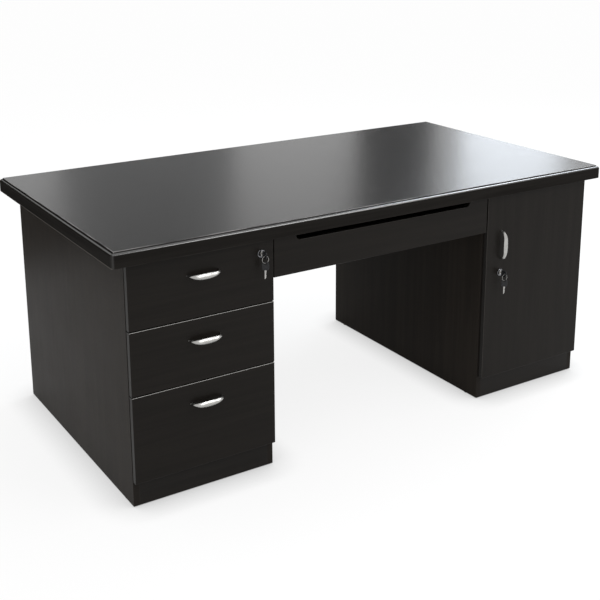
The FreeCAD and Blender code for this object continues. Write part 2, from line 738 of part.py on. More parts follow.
# Door of the right pedestal with its cup holes
door_width = size("pedestal_width - 2 * door_reveal")
door_height = f"({fronts_top} - sizes.front_bottom)"
door = overlay_front("door_panel", door_width, door_height, door_left, size("front_bottom"),
                     [(door_lock_x, door_lock_z)])
HINGE_Z = (size("front_bottom + hinge_inset"), f"({fronts_top} - sizes.hinge_inset)")
cup_holes = sketch_on(door, "XZ_Plane")
for z in HINGE_Z:
    circle(cup_holes, f"{door_width} - sizes.cup_edge", f"{z} - sizes.front_bottom",
           size("cup_radius + cup_clearance"))
pocket(door, cup_holes, size("cup_depth + cup_clearance"))
part(door)
bow_handle("door_handle", f"{door_lock_x} - sizes.door_handle_offset", f"{fronts_top} - sizes.door_handle_drop",
           upright=True)
lock("door_lock", door_lock_x, door_lock_z, size("door_cam_reach"), 0)

# Concealed hinges: a cup let into the door, an arm on the cabinet side, and a link pinned to both
door_right = f"({door_left} + {door_width})"
arm_x = f"({outer_inside} - sizes.arm_pivot_inset)"
arm_y = f"({carcass_front} - sizes.arm_pivot_reach)"
link_x = f"({door_right} - sizes.link_pivot_edge)"
link_y = f"({front_back} - sizes.link_pivot_depth)"
pin_bore = size("hinge_pin + hinge_clearance")
half_gap = size("arm_half_depth + hinge_side_play")
half_arm = f"({half_gap} + sizes.arm_cheek)"
CUPS, ARMS, LINKS = [], [], []
for order, z in enumerate(HINGE_Z, start=1):
    cup = new_body(f"hinge_cup_{order}")
    bowl = sketch_on(cup, "XY_Plane")
    cup_inside = size("cup_radius - cup_wall")
    cup_floor = size("cup_wall - cup_depth")
    outline(bowl, [("0", size("- cup_depth")), (size("cup_radius"), size("- cup_depth")),
                   (size("cup_radius"), "0"), (cup_inside, "0"), (cup_inside, cup_floor), ("0", cup_floor)])
    revolve(cup, bowl)
    place(cup, f"{door_right} - sizes.cup_edge", front_back, z)
    ears = [board("hinge_ear", (size("2 * ear_radius"), size("cup_depth - cup_wall"), size("ear_width")),
                  (f"{link_x} - sizes.ear_radius", f"{front_back} - sizes.cup_depth + sizes.cup_wall", low))
            for low in (f"{z} + {half_gap}", f"{z} - {half_gap} - sizes.ear_width")]
    cup_bore = rod("hinge_cup_bore", pin_bore, f"2 * {half_arm} + 2 * sizes.ear_width",
                   (link_x, link_y, f"{z} - {half_arm} - sizes.ear_width"), "Z")
    notch_room = board("hinge_cup_notch", (f"{link_x} - {door_right} + sizes.cup_edge", size("cup_notch"),
                                           f"2 * {half_gap}"),
                       (f"{door_right} - sizes.cup_edge + sizes.cup_radius / 2",
                        f"{front_back} - sizes.cup_notch", f"{z} - {half_gap}"))
    CUPS.append(cut_by(f"hinge_cup_{order}_with_ears", joined(f"hinge_cup_{order}_blank", [cup] + ears),
                       [cup_bore, notch_room]))

    plate_start = f"({carcass_front} + sizes.arm_plate_setback)"
    plate = board("hinge_plate", (size("arm_plate"), size("arm_plate_length"), size("arm_plate_height")),
                  (f"{outer_inside} - sizes.arm_plate", plate_start, f"{z} - sizes.arm_plate_height / 2"))
    nose = f"({arm_y} - sizes.ear_radius)"
    arm_left = f"({arm_x} - sizes.ear_radius)"
    arm = board("hinge_arm", (f"{outer_inside} - sizes.arm_plate - {arm_left}", size("arm_length"),
                              f"2 * {half_arm}"),
                (arm_left, nose, f"{z} - {half_arm}"))
    gap = board("hinge_arm_gap", (f"{outer_inside} - {arm_left}", f"{plate_start} - {nose}", f"2 * {half_gap}"),
                (arm_left, nose, f"{z} - {half_gap}"))
    relief = board("hinge_arm_relief", (size("board"), f"{carcass_front} - {nose}", f"2 * {half_arm}"),
                   (f"{arm_x} + sizes.ear_radius", nose, f"{z} - {half_arm}"))
    arm_bore = rod("hinge_arm_bore", pin_bore, f"2 * {half_arm}", (arm_x, arm_y, f"{z} - {half_arm}"), "Z")
    ARMS.append(cut_by(f"hinge_arm_{order}", joined(f"hinge_arm_{order}_blank", [plate, arm]),
                       [gap, relief, arm_bore]))

    eyes = [rod("hinge_link_eye", size("link_eye"), size("2 * arm_half_depth"),
                (x, y, f"{z} - sizes.arm_half_depth"), "Z") for x, y in ((arm_x, arm_y), (link_x, link_y))]
    pins = [rod("hinge_link_pin", size("hinge_pin"), f"2 * {half_arm}", (x, y, f"{z} - {half_arm}"), "Z")
            for x, y in ((arm_x, arm_y), (link_x, link_y))]
    span_x = value(f"{link_x} - {arm_x}")
    span_y = value(f"{link_y} - {arm_y}")
    strap = doc.addObject("Part::Box", "hinge_link_strap")
    strap.Length = math.hypot(span_x, span_y)
    strap.setExpression("Width", size("link_sheet"))
    strap.setExpression("Height", size("2 * arm_half_depth"))
    lean = FreeCAD.Rotation(FreeCAD.Vector(0, 0, 1), math.degrees(math.atan2(span_y, span_x)))
    strap.Placement.Rotation = lean
    middle = lean.multVec(FreeCAD.Vector(0, -value(size("link_sheet / 2")), 0))
    place(strap, f"{arm_x} + {middle.x}", f"{arm_y} + {middle.y}", f"{z} - sizes.arm_half_depth")
    LINKS.append(joined(f"hinge_link_{order}", eyes + pins + [strap]))
part(group("hinge_cups", CUPS))
part(group("hinge_arms", ARMS))
part(group("hinge_links", LINKS))

doc.recompute()
for thing in doc.Objects:
    if "Invalid" in thing.State or "Error" in thing.State:
        raise RuntimeError(f"{thing.Name} failed: {thing.State}")
os.makedirs("parts", exist_ok=True)
for thing in PARTS:
    if thing.Shape.isNull() or not thing.Shape.isValid():
        raise RuntimeError(f"{thing.Label} has no valid shape")
    thing.Shape.exportStep(f"parts/{thing.Label}.step")
print(len(PARTS), "pieces")
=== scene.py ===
import math

import bmesh
import bpy
from mathutils import Matrix, Vector


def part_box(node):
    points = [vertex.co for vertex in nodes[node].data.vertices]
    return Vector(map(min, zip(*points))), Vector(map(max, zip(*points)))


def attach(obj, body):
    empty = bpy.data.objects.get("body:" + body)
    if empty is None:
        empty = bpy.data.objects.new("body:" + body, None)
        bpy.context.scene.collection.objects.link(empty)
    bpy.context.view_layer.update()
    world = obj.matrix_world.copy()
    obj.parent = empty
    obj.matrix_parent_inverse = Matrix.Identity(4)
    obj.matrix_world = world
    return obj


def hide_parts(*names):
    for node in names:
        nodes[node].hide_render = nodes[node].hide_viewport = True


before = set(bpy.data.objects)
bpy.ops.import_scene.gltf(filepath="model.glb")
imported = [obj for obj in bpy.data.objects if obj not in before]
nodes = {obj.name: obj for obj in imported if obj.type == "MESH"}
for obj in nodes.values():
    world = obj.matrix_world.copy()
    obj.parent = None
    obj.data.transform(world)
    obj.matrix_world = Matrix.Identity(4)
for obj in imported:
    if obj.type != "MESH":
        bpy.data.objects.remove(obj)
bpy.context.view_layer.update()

# Pedestal boards: sides, plinths, bottoms, backs, rails, modesty panel and loose shelf. They are of
# chipboard faced with a black-brown wood-print laminate, edge-banded with the same print, and dowelled
# and bolted together. The print runs up the sides and backs and along the other boards.

# A Mix node's colour sockets share their names with its other sockets, so they go by number.
MIX_FACTOR, MIX_FIRST, MIX_SECOND, MIX_RESULT = 0, 6, 7, 2


class Wire:
    """An output of a material's node. Arithmetic adds Math nodes, and node() adds any other node."""

    def __init__(self, tree, socket=None):
        self.tree = tree
        self.socket = socket

    def node(self, kind, settings=None, inputs=None, output=0):
        """Adds a node, gives it its settings and then the values or links of its inputs."""
        made = self.tree.nodes.new(kind)
        for name, setting in (settings or {}).items():
            setattr(made, name, setting)
        for name, given in (inputs or {}).items():
            if isinstance(given, Wire):
                self.tree.links.new(given.socket, made.inputs[name])
            else:
                made.inputs[name].default_value = given
        return Wire(self.tree, made.outputs[output])

    def maths(self, operation, first, second):
        return self.node("ShaderNodeMath", {"operation": operation}, {0: first, 1: second})

    def __add__(self, other):
        return self.maths("ADD", self, other)

    def __radd__(self, other):
        return self.maths("ADD", other, self)

    def __sub__(self, other):
        return self.maths("SUBTRACT", self, other)

    def __rsub__(self, other):
        return self.maths("SUBTRACT", other, self)

    def __mul__(self, other):
        return self.maths("MULTIPLY", self, other)

    def __rmul__(self, other):
        return self.maths("MULTIPLY", other, self)

    def least(self, other):
        return self.maths("MINIMUM", self, other)

    def most(self, other):
        return self.maths("MAXIMUM", self, other)

    def between(self, low, high):
        """0 below low and 1 above high, with a soft step between."""
        return self.node("ShaderNodeMapRange", {"interpolation_type": "SMOOTHSTEP"},
                         {"Value": self, "From Min": low, "From Max": high})

    def blend(self, first, second):
        """Goes from the first colour to the second as this value goes from 0 to 1."""
        return self.node("ShaderNodeMix", {"data_type": "RGBA"},
                         {MIX_FACTOR: self, MIX_FIRST: first, MIX_SECOND: second}, MIX_RESULT)


class Finish:
    """A new material with its shader and the place on the piece that patterns are drawn by."""

    def __init__(self, name, **settings):
        self.material = bpy.data.materials.new(name)
        self.material.use_nodes = True
        self.tree = self.material.node_tree
        self.shader = self.tree.nodes["Principled BSDF"]
        self.place = Wire(self.tree).node("ShaderNodeTexCoord", output="Object")
        for socket, setting in settings.items():
            self.shader.inputs[socket.replace("_", " ")].default_value = setting

    def feed(self, socket, wire):
        self.tree.links.new(wire.socket, self.shader.inputs[socket])

    def noise(self, cell, detail, distortion=0.0):
        """Soft noise; cell is the size of its patches in metres along X, Y and Z."""
        stretch = tuple(1 / side for side in cell)
        spread = self.place.node("ShaderNodeMapping", None, {"Vector": self.place, "Scale": stretch})
        return spread.node("ShaderNodeTexNoise", None, {"Vector": spread, "Scale": 1.0, "Detail": detail,
                                                         "Distortion": distortion})

    def bump(self, height, distance, strength):
        self.feed("Normal", height.node("ShaderNodeBump", None, {"Height": height, "Distance": distance,
                                                                  "Strength": strength}))

    def coordinates(self):
        split = self.place.node("ShaderNodeSeparateXYZ", None, {"Vector": self.place}).socket.node
        return [Wire(self.tree, output) for output in split.outputs]

    def wear_and_highlight_edges(self, low, high, reach):
        """1 at the edges of the box between two corners, falling to 0 at a distance of reach."""
        near = []
        for axis, along in enumerate(self.coordinates()):
            near.append((along - low[axis]).least(high[axis] - along))
        middle = near[0].least(near[1]).most(near[0].most(near[1]).least(near[2]))
        return 1.0 - middle.between(0.0, reach)


def dress(node, finish):
    """Gives a carried-over node its finish."""
    slots = nodes[node].data.materials
    slots.clear()
    slots.append(finish.material)


X, Y, Z = range(3)
FIGURE_LENGTH, FIGURE_WIDTH, FIGURE_DETAIL, FIGURE_WAVER = 0.55, 0.022, 3.0, 0.6
STREAK_LENGTH, STREAK_WIDTH, STREAK_DETAIL = 0.16, 0.0022, 4.0
PORE_LENGTH, PORE_WIDTH, PORE_DETAIL = 0.022, 0.00045, 1.0
PORE_NONE, PORE_FULL, PORE_DARKNESS = 0.56, 0.70, 0.45
FIGURE_SHARE, STREAK_SHARE = 0.6, 0.4
TONE_DARK, TONE_LIGHT = 0.34, 0.66
HANDLED_PATCH, HANDLED_DETAIL = 0.11, 3.0
EDGE_WEAR_AND_HIGHLIGHT, WEAR_AND_HIGHLIGHT_NONE, WEAR_AND_HIGHLIGHT_FULL, WEAR_AND_HIGHLIGHT_STRENGTH = 0.0025, 0.30, 0.65, 0.8
NOISE_MIDDLE = 0.5
PRINT_UNEVENNESS = 0.08
STREAK_RISE, PRINT_DEPTH, PRINT_RELIEF = 0.35, 0.00006, 0.5


def along_grain(grain, length, width):
    return tuple(length if axis == grain else width for axis in range(3))


def wood_print(node, grain, tones, gloss, sheen, unevenness=PRINT_UNEVENNESS, band_and_painted_light=None):
    """Wood print on a board: broad figure, fine streaks, short pores and edge wear, which on the worktop
    is a pale painted highlight.

    tones are the dark and light colours and the edges' colour; the last argument gives a mask and the
    colour where it is 1, for a side's edge band, a painted highlight or a painted shade along an arris."""
    dark, light, wear_and_highlight_tone = tones
    low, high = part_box(node)
    finish = Finish(f"{node}_print", Specular_IOR_Level=sheen)
    figure = finish.noise(along_grain(grain, FIGURE_LENGTH, FIGURE_WIDTH), FIGURE_DETAIL, FIGURE_WAVER)
    streaks = finish.noise(along_grain(grain, STREAK_LENGTH, STREAK_WIDTH), STREAK_DETAIL)
    pits = finish.noise(along_grain(grain, PORE_LENGTH, PORE_WIDTH), PORE_DETAIL)
    pores = pits.between(PORE_NONE, PORE_FULL)
    handled = finish.noise(3 * (HANDLED_PATCH,), HANDLED_DETAIL)
    tone = (FIGURE_SHARE * figure + STREAK_SHARE * streaks).between(TONE_DARK, TONE_LIGHT)
    wood = (PORE_DARKNESS * pores).blend(tone.blend(dark, light), dark)
    # Edge wear along the board's edges; on the worktop this is a pale painted highlight.
    edges = finish.wear_and_highlight_edges(low, high, EDGE_WEAR_AND_HIGHLIGHT) * handled.between(WEAR_AND_HIGHLIGHT_NONE, WEAR_AND_HIGHLIGHT_FULL)
    colour = (WEAR_AND_HIGHLIGHT_STRENGTH * edges).blend(wood, wear_and_highlight_tone)
    # An edge band on the sides; painted highlights and painted shade on arrises of fronts and mouldings.
    if band_and_painted_light:
        marked_part, mark_colour = band_and_painted_light
        colour = marked_part(finish, low, high).blend(colour, mark_colour)
    finish.feed("Base Color", colour)
    finish.feed("Roughness", gloss + unevenness * (handled + streaks + pores - 2 * NOISE_MIDDLE))
    finish.bump(streaks * STREAK_RISE - pores, PRINT_DEPTH, PRINT_RELIEF)
    return finish


BOARD_TONES = (0.0142, 0.0115, 0.0092, 1.0), (0.0198, 0.0160, 0.0126, 1.0), (0.030, 0.025, 0.020, 1.0)
BOARD_GLOSS, BOARD_SHEEN = 0.36, 0.027
BAND_TONE = (0.0165, 0.0142, 0.0124, 1.0)
BAND_FULL, BAND_NONE = 0.0004, 0.0010
BOARDS = {
    "left_outer_side": Z, "left_inner_side": Z, "right_inner_side": Z, "right_outer_side": Z,
    "left_back": Z, "right_back": Z, "left_bottom": Y, "right_bottom": Y, "left_front_rail": X,
    "right_front_rail": X, "modesty_panel": X, "cabinet_shelf": X,
}


def front_edge_band(finish, low, high):
    """1 on the band that covers the front edge of a side."""
    return 1.0 - (finish.coordinates()[Y] - low.y).between(BAND_FULL, BAND_NONE)


for board, grain in BOARDS.items():
    band = (front_edge_band, BAND_TONE) if board.endswith("_side") else None
    dress(board, wood_print(board, grain, BOARD_TONES, BOARD_GLOSS, BOARD_SHEEN, band_and_painted_light=band))
PLINTH_TONES = (0.0086, 0.0074, 0.0064, 1.0), (0.0116, 0.0099, 0.0085, 1.0), (0.020, 0.017, 0.015, 1.0)
PLINTH_SHEEN = 0.11
for plinth in ("left_plinth", "right_plinth"):
    dress(plinth, wood_print(plinth, X, PLINTH_TONES, BOARD_GLOSS, PLINTH_SHEEN))

# Floor glides: moulded black plastic discs, each with a steel nail moulded in, knocked into the lower
# edges of the sides near their ends. The floor has scuffed them.
PLASTIC = (0.016, 0.016, 0.017, 1.0)
PLASTIC_SCUFFED = (0.055, 0.054, 0.052, 1.0)
PLASTIC_GLOSS, PLASTIC_SHEEN = 0.38, 0.20
STIPPLE_CELL, STIPPLE_DETAIL, STIPPLE_DEPTH, STIPPLE_RELIEF = 0.0004, 2.0, 0.00004, 0.6
SCUFF_PATCH, SCUFF_DETAIL, SCUFF_NONE, SCUFF_FULL, SCUFF_DULLING = 0.004, 4.0, 0.5, 0.75, 0.18
GLIDE_SCUFFING = 0.8


def moulded_plastic(name, scuffing):
    """Stippled black plastic, paler and duller where it is scuffed."""
    finish = Finish(name, Specular_IOR_Level=PLASTIC_SHEEN)
    stipple = finish.noise(3 * (STIPPLE_CELL,), STIPPLE_DETAIL)
    scuffs = finish.noise(3 * (SCUFF_PATCH,), SCUFF_DETAIL).between(SCUFF_NONE, SCUFF_FULL)
    finish.feed("Base Color", (scuffing * scuffs).blend(PLASTIC, PLASTIC_SCUFFED))
    finish.feed("Roughness", PLASTIC_GLOSS + SCUFF_DULLING * scuffs)
    finish.bump(stipple, STIPPLE_DEPTH, STIPPLE_RELIEF)
    return finish


dress("floor_glides", moulded_plastic("glide_plastic", GLIDE_SCUFFING))

# Worktop: a thick board whose raised writing surface carries a harder, glossier film of the same print;
# a pale painted highlight runs along its edges. Solid mouldings with a rounded upper edge, mitred at the
# corners, are glued round it. Their lacquer is buffed to a gloss along that edge and a little at the
# corners, and a painted highlight runs along the foot at the ends.
# The worktop's third colour is a pale painted highlight along its edges, not wear.
TOP_TONES_AND_HIGHLIGHT = (0.0054, 0.0050, 0.0046, 1.0), (0.0085, 0.0077, 0.0069, 1.0), (0.30, 0.29, 0.28, 1.0)
TOP_GLOSS, TOP_SHEEN, TOP_UNEVENNESS = 0.24, 0.42, 0.02
dress("worktop", wood_print("worktop", X, TOP_TONES_AND_HIGHLIGHT, TOP_GLOSS, TOP_SHEEN, TOP_UNEVENNESS))
MOULDING_TONES = (0.0098, 0.0089, 0.0081, 1.0), (0.0145, 0.0132, 0.0120, 1.0), (0.040, 0.037, 0.034, 1.0)
MOULDING_GLOSS, MOULDING_SHEEN = 0.36, 0.003
# The moulding's foot colour is a painted highlight along the lower arris at the ends of the top.
MOULDING_FOOT_HIGHLIGHT = (0.085, 0.077, 0.068, 1.0)
FOOT_FULL, FOOT_NONE = 0.0022, 0.0032
half_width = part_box("right_moulding")[1].x
front_line, back_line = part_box("front_moulding")[0].y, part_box("back_moulding")[1].y


def off_outline(finish):
    """How far a point lies inside the top's outline, from its ends and from its front or back."""
    across, depth, _ = finish.coordinates()
    return half_width - across.most(0.0 - across), (depth - front_line).least(back_line - depth)


def highlit_foot(finish, low, high):
    """1 along the lower arris at the ends of the top."""
    above_foot = finish.coordinates()[Z] - low.z
    off_end, _ = off_outline(finish)
    return 1.0 - above_foot.most(off_end).between(FOOT_FULL, FOOT_NONE)


# Where a buffed band starts and ends below the moulding's top, and its lacquer's refractive index.
LONG_BUFF, SHORT_BUFF = (-0.0010, 0.0046, 1.9), (0.0001, 0.0029, 1.5)
BUFF_FADE, BUFF_ROUGHNESS = 0.0006, 0.18
CORNER_FULL, CORNER_NONE, CORNER_BUFF = 0.0045, 0.009, 0.3
MOULDINGS = {
    "front_moulding": (X, LONG_BUFF), "back_moulding": (X, LONG_BUFF),
    "left_moulding": (Y, SHORT_BUFF), "right_moulding": (Y, SHORT_BUFF),
}
for moulding, (grain, (buff_top, buff_bottom, buff_index)) in MOULDINGS.items():
    lacquer = wood_print(moulding, grain, MOULDING_TONES, MOULDING_GLOSS, MOULDING_SHEEN,
                         band_and_painted_light=(highlit_foot, MOULDING_FOOT_HIGHLIGHT))
    lacquer.shader.inputs["Coat Roughness"].default_value = BUFF_ROUGHNESS
    lacquer.shader.inputs["Coat IOR"].default_value = buff_index
    below_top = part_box(moulding)[1].z - lacquer.coordinates()[Z]
    starts = below_top.between(buff_top, buff_top + BUFF_FADE)
    ends = below_top.between(buff_bottom - BUFF_FADE, buff_bottom)
    off_end, off_front = off_outline(lacquer)
    corner = 1.0 - off_end.most(off_front).between(CORNER_FULL, CORNER_NONE)
    lacquer.feed("Coat Weight", (starts - ends).most(CORNER_BUFF * corner))
    dress(moulding, lacquer)

# Drawer slides: rolled zinc-plated steel channels on the carcass and runners on the drawer boxes,
# each held by pan-head screws through its web.
ZINC = (0.56, 0.57, 0.59, 1.0)
ZINC_CLOUD = (0.66, 0.65, 0.62, 1.0)
ZINC_GLOSS = 0.34
LINE_LENGTH, LINE_WIDTH, LINE_DETAIL, LINE_DULLING = 0.05, 0.0003, 2.0, 0.12
LINE_DEPTH, LINE_RELIEF = 0.00003, 0.5
CLOUD_PATCH, CLOUD_DETAIL, CLOUD_NONE, CLOUD_FULL, CLOUD_DULLING = 0.018, 3.0, 0.35, 0.7, 0.08


def plated_steel(name, grain, clean, cloudy, gloss):
    """Plated steel with rolling or brushing lines along one axis and a cloudy passivation."""
    finish = Finish(name, Metallic=1.0)
    lines = finish.noise(along_grain(grain, LINE_LENGTH, LINE_WIDTH), LINE_DETAIL)
    clouds = finish.noise(3 * (CLOUD_PATCH,), CLOUD_DETAIL).between(CLOUD_NONE, CLOUD_FULL)
    finish.feed("Base Color", clouds.blend(clean, cloudy))
    finish.feed("Roughness", gloss + LINE_DULLING * (lines - NOISE_MIDDLE) + CLOUD_DULLING * clouds)
    finish.bump(lines, LINE_DEPTH, LINE_RELIEF)
    return finish


zinc = plated_steel("zinc_plate", Y, ZINC, ZINC_CLOUD, ZINC_GLOSS)
DRAWERS = ("top_drawer", "middle_drawer", "bottom_drawer", "pencil_drawer")
for slide in ["slide_channels"] + [f"{drawer}_runners" for drawer in DRAWERS]:
    dress(slide, zinc)
SHARP_EDGE = math.radians(35)


def new_object(name, mesh, finish):
    """Puts a mesh into the scene as an object with its finish."""
    data = bpy.data.meshes.new(name)
    mesh.to_mesh(data)
    mesh.free()
    data.materials.append(finish.material)
    made = bpy.data.objects.new(name, data)
    bpy.context.scene.collection.objects.link(made)
    return made


def new_piece(name, mesh, finish, body):
    """Makes a finished mesh into a piece that rides on a body."""
    bmesh.ops.recalc_face_normals(mesh, faces=mesh.faces)
    piece = new_object(name, mesh, finish)
    piece.data.shade_smooth()
    piece.data.set_sharp_from_angle(angle=SHARP_EDGE)
    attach(piece, body)
    return piece


def turned_to(direction):
    return Vector(direction).to_track_quat("Z", "Y").to_matrix().to_4x4()


def thicken(mesh, sheet, thickness):
    """Pushes a copy of a flat sheet up, with walls between, and gives the copy's faces."""
    pushed = bmesh.ops.extrude_face_region(mesh, geom=sheet)["geom"]
    raised = [item for item in pushed if isinstance(item, bmesh.types.BMVert)]
    bmesh.ops.translate(mesh, vec=(0, 0, thickness), verts=raised)
    return [item for item in pushed if isinstance(item, bmesh.types.BMFace)]


SCREW_HEAD, SCREW_CORNERS = 0.0036, 16
RIM_HEIGHT, CROWN_INSET, CROWN_HEIGHT = 0.0012, 0.00108, 0.0008
DRIVE_INSET, DRIVE_POINT, DRIVE_HOLLOW, DRIVE_TAPER, DRIVE_DEPTH = 0.001152, 1.45, 0.55, 0.000072, 0.0010


def add_screw(mesh, foot, direction, scale=1.0):
    """A pan-head screw: a domed head with a sunk four-pointed drive, open where it stands on foot."""
    earlier = set(mesh.verts)
    rim = bmesh.ops.create_circle(mesh, cap_ends=True, segments=SCREW_CORNERS, radius=SCREW_HEAD)
    base = list(rim["verts"][0].link_faces)
    crown = thicken(mesh, base, RIM_HEIGHT)
    bmesh.ops.inset_region(mesh, faces=crown, thickness=CROWN_INSET, depth=CROWN_HEIGHT)
    bmesh.ops.inset_region(mesh, faces=crown, thickness=DRIVE_INSET)
    middle = crown[0].calc_center_median()
    for order, vertex in enumerate(crown[0].verts):
        vertex.co = middle + (vertex.co - middle) * (DRIVE_HOLLOW if order % 4 else DRIVE_POINT)
    bmesh.ops.inset_region(mesh, faces=crown, thickness=DRIVE_TAPER, depth=-DRIVE_DEPTH)
    bmesh.ops.delete(mesh, geom=base, context="FACES_ONLY")
    made = [vertex for vertex in mesh.verts if vertex not in earlier]
    spot = Matrix.Translation(Vector(foot)) @ turned_to(direction) @ Matrix.Scale(scale, 4)
    bmesh.ops.transform(mesh, matrix=spot, verts=made)


SCREW_PLACES = (0.06, 0.24, 0.42)
CHANNEL_WEB, RUNNER_WEB, RUNNER_CLEARANCE = 0.0012, 0.0012, 0.0016
carcass_screws = bmesh.new()
for drawer in DRAWERS:
    low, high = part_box(f"{drawer}_runners")
    sides_low, sides_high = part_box(f"{drawer}_sides")
    level = (low.z + high.z) / 2
    runner_screws = bmesh.new()
    for inward, box_face in ((1, sides_low.x), (-1, sides_high.x)):
        carcass_face = (low.x if inward > 0 else high.x) - inward * RUNNER_CLEARANCE
        channel_web, runner_web = carcass_face + inward * CHANNEL_WEB, box_face - inward * RUNNER_WEB
        for place in SCREW_PLACES:
            add_screw(carcass_screws, (channel_web, low.y + place, level), (inward, 0, 0))
            add_screw(runner_screws, (runner_web, low.y + place, level), (-inward, 0, 0))
    new_piece(f"{drawer}_runner_screws", runner_screws, zinc, drawer)
new_piece("slide_screws", carcass_screws, zinc, "carcass")

# Drawer boxes: sides and a back of thinner board with a dull dark facing, dowelled together. Their lower
# edges are grooved for a thin bottom panel, and the fronts close them.
BOX_TONES = (0.030, 0.025, 0.021, 1.0), (0.052, 0.044, 0.036, 1.0), (0.13, 0.105, 0.08, 1.0)
BOX_GLOSS, BOX_SHEEN = 0.55, 0.30
for drawer in DRAWERS:
    for wall, grain in (("sides", Y), ("back", X), ("bottom", X)):
        dress(f"{drawer}_{wall}", wood_print(f"{drawer}_{wall}", grain, BOX_TONES, BOX_GLOSS, BOX_SHEEN))

# Drawer fronts and door: laminated boards with a softly rounded, edge-banded arris, screwed to the boxes
# from inside. The print runs across the drawers and up the door. A pale painted highlight runs along the
# middle and bottom drawers' upper arrises, and a dim one along the finger notch's floor and the door's
# free edge. The top drawer's upper arris carries painted shade in the front's darkest tone.
FRONT_TONES = (0.0078, 0.0066, 0.0055, 1.0), (0.0104, 0.0087, 0.0073, 1.0), (0.017, 0.0145, 0.0125, 1.0)
FRONT_GLOSS, FRONT_SHEEN = 0.34, 0.09
# How far from an arris the fronts' painted highlights and painted shade are full and where they end.
ARRIS_PAINT_FULL, ARRIS_PAINT_NONE = 0.0006, 0.0013
NOTCH_FLOOR, NOTCH_HALF_WIDTH = 0.0175, 0.312


def top_arris_light_and_shade(finish, low, high):
    """1 along the arris of a front's upper edge."""
    _, depth, height = finish.coordinates()
    return 1.0 - (depth - low.y).most(high.z - height).between(ARRIS_PAINT_FULL, ARRIS_PAINT_NONE)


def highlit_notch_arris(finish, low, high):
    """1 along the arris of the finger notch's floor."""
    across, depth, height = finish.coordinates()
    off_edge = (depth - low.y).most(high.z - NOTCH_FLOOR - height)
    beside = across.most(0.0 - across) - NOTCH_HALF_WIDTH
    return 1.0 - off_edge.most(beside).between(ARRIS_PAINT_FULL, ARRIS_PAINT_NONE)


def highlit_free_edge(finish, low, high):
    """1 along the arris of the door's edge away from its hinges."""
    across, depth, _ = finish.coordinates()
    return 1.0 - (depth - low.y).most(across - low.x).between(ARRIS_PAINT_FULL, ARRIS_PAINT_NONE)


# Painted highlights, pale and dim, and painted shade in the front's darkest tone, laid along arrises.
PALE_PAINTED_HIGHLIGHT, DIM_PAINTED_HIGHLIGHT = (0.53, 0.52, 0.50, 1.0), (0.060, 0.056, 0.052, 1.0)
PAINTED_SHADE_TONE = FRONT_TONES[0]
FRONTS = {
    "top_drawer_front": (X, top_arris_light_and_shade, PAINTED_SHADE_TONE),
    "middle_drawer_front": (X, top_arris_light_and_shade, PALE_PAINTED_HIGHLIGHT),
    "bottom_drawer_front": (X, top_arris_light_and_shade, PALE_PAINTED_HIGHLIGHT),
    "pencil_drawer_front": (X, highlit_notch_arris, DIM_PAINTED_HIGHLIGHT),
    "door_panel": (Z, highlit_free_edge, DIM_PAINTED_HIGHLIGHT),
}
for front, (grain, *band_and_painted_light) in FRONTS.items():
    dress(front, wood_print(front, grain, FRONT_TONES, FRONT_GLOSS, FRONT_SHEEN, band_and_painted_light=band_and_painted_light))

# Bow handles: die-cast half-moon bars, satin nickel plated, brushed along their length and held by two
# screws from behind the front, which bite into the bent ends.
NICKEL = (0.45, 0.445, 0.43, 1.0)
NICKEL_SHADE = (0.38, 0.375, 0.36, 1.0)
NICKEL_GLOSS = 0.24
HANDLES = {"top_drawer_handle": "top_drawer", "middle_drawer_handle": "middle_drawer",
           "bottom_drawer_handle": "bottom_drawer", "door_handle": "door"}
FOOT_INSET, FOOT_DROP, HANDLE_SCREW = 0.0025, 0.0040, 1.25
for handle, body in HANDLES.items():
    low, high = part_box(handle)
    upright = high.z - low.z > high.x - low.x
    lengthwise, front = (Z, "door_panel") if upright else (X, f"{body}_front")
    dress(handle, plated_steel(f"{handle}_nickel", lengthwise, NICKEL, NICKEL_SHADE, NICKEL_GLOSS))
    screws = bmesh.new()
    foot = Vector((low.x + FOOT_DROP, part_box(front)[1].y, high.z - FOOT_DROP))
    for place in (low[lengthwise] + FOOT_INSET, high[lengthwise] - FOOT_INSET):
        foot[lengthwise] = place
        add_screw(screws, foot, (0, 1, 0), HANDLE_SCREW)
    new_piece(f"{handle}_screws", screws, zinc, body)

# Concealed hinges: pressed steel cups let into the door, arms on the cupboard side, and links pinned
# to both. The arm plates are screwed on.
HINGE_GLOSS = 0.26
hinge_steel = plated_steel("hinge_nickel", Z, ZINC, ZINC_CLOUD, HINGE_GLOSS)
for hinge in ("hinge_cups", "hinge_arms", "hinge_links"):
    dress(hinge, hinge_steel)
ARM_PLATE, ARM_PLATE_MIDDLE, ARM_SCREW_RISE = 0.003, 0.040, 0.017
HINGE_INSET = 0.100
door_low, door_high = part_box("door_panel")
arm_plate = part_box("hinge_arms")[1].x - ARM_PLATE
arm_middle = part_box("right_outer_side")[0].y + ARM_PLATE_MIDDLE
arm_screws = bmesh.new()
for hinge_z in (door_low.z + HINGE_INSET, door_high.z - HINGE_INSET):
    for rise in (-ARM_SCREW_RISE, ARM_SCREW_RISE):
        add_screw(arm_screws, (arm_plate, arm_middle, hinge_z + rise), (-1, 0, 0))
new_piece("hinge_arm_screws", arm_screws, zinc, "carcass")

# Shelf pins: four turned steel pegs, plated like the hinges, in holes in the cupboard's sides. The loose
# shelf lies on them.
dress("shelf_pins", hinge_steel)

